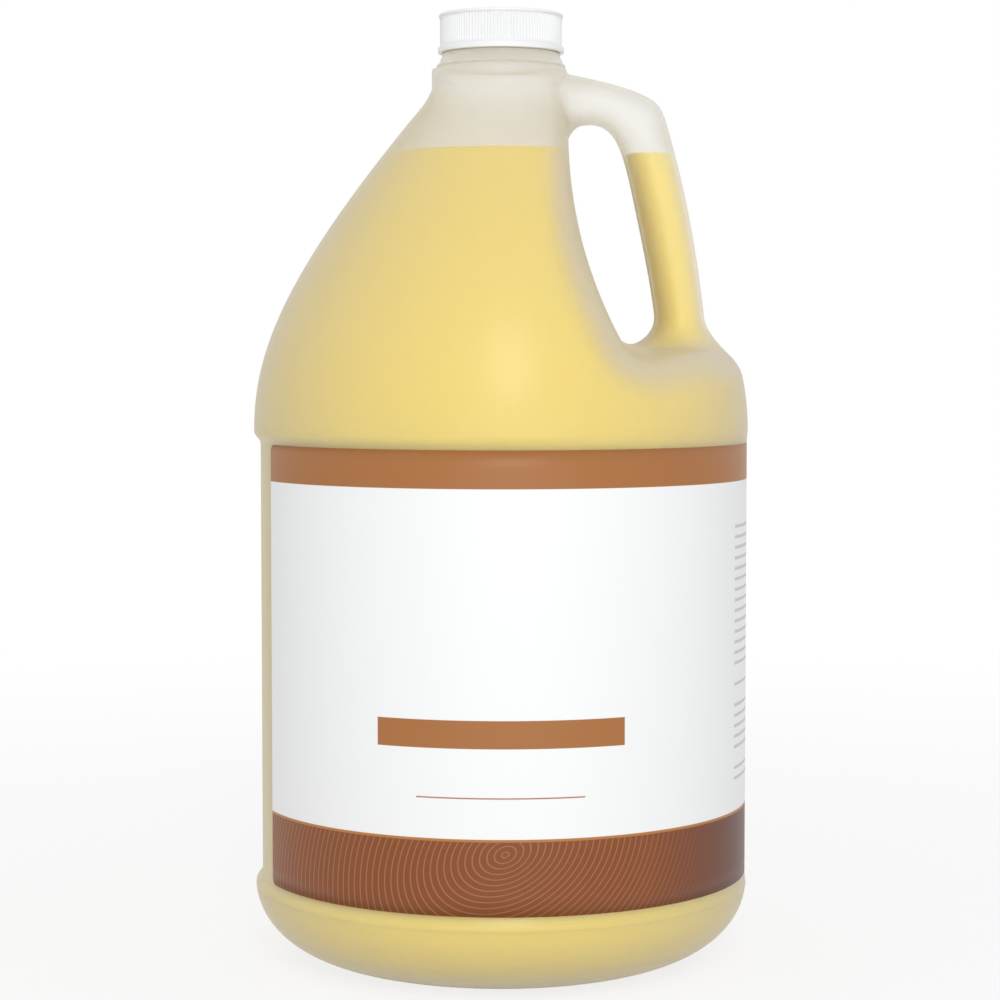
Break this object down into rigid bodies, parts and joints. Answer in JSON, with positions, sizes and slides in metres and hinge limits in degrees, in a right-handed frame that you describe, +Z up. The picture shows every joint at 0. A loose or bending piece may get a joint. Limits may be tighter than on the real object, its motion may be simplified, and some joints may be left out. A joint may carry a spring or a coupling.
{
  "type": "oil jug",
  "caption": "Round translucent jug with a moulded-through side handle and a ribbed screw cap, filled with oil and wrapped in a label.",
  "frame": {"origin": "on the jug's axis, on the plane that it stands on", "axes": "+Z up along the neck, +X towards the handle, -Y out of the middle of the label's front"},
  "size_m": [0.1588, 0.1588, 0.3026],
  "materials": {
    "natural_polyethylene": "frosted, undyed blow-moulded polyethylene, translucent",
    "white_polypropylene": "white injection-moulded polypropylene with fine ribs",
    "liner_foam": "white polyethylene foam disc",
    "label_paper": "coated white paper, printed with brown bands",
    "oil": "clear pale yellow oil"
  },
  "bodies": {
    "bottle_body": {"bottle": "natural_polyethylene", "label": "label_paper", "oil": "oil"},
    "liner_body": {"cap_liner": "liner_foam"},
    "cap_body": {"cap": "white_polypropylene"}
  },
  "joints": [
    {"name": "cap_rise", "type": "slide", "parent": "bottle_body", "child": "liner_body", "axis": [0, 0, 1], "range_m": [0, 0.0212]},
    {"name": "cap_turn", "type": "hinge", "parent": "liner_body", "child": "cap_body", "pos_m": [0, 0, 0.29], "axis": [0, 0, 1], "range_deg": [0, 1800]}
  ],
  "couplings": [
    {"joint": "cap_rise", "follows": "cap_turn", "m_per_rad": 0.00067375}
  ]
}
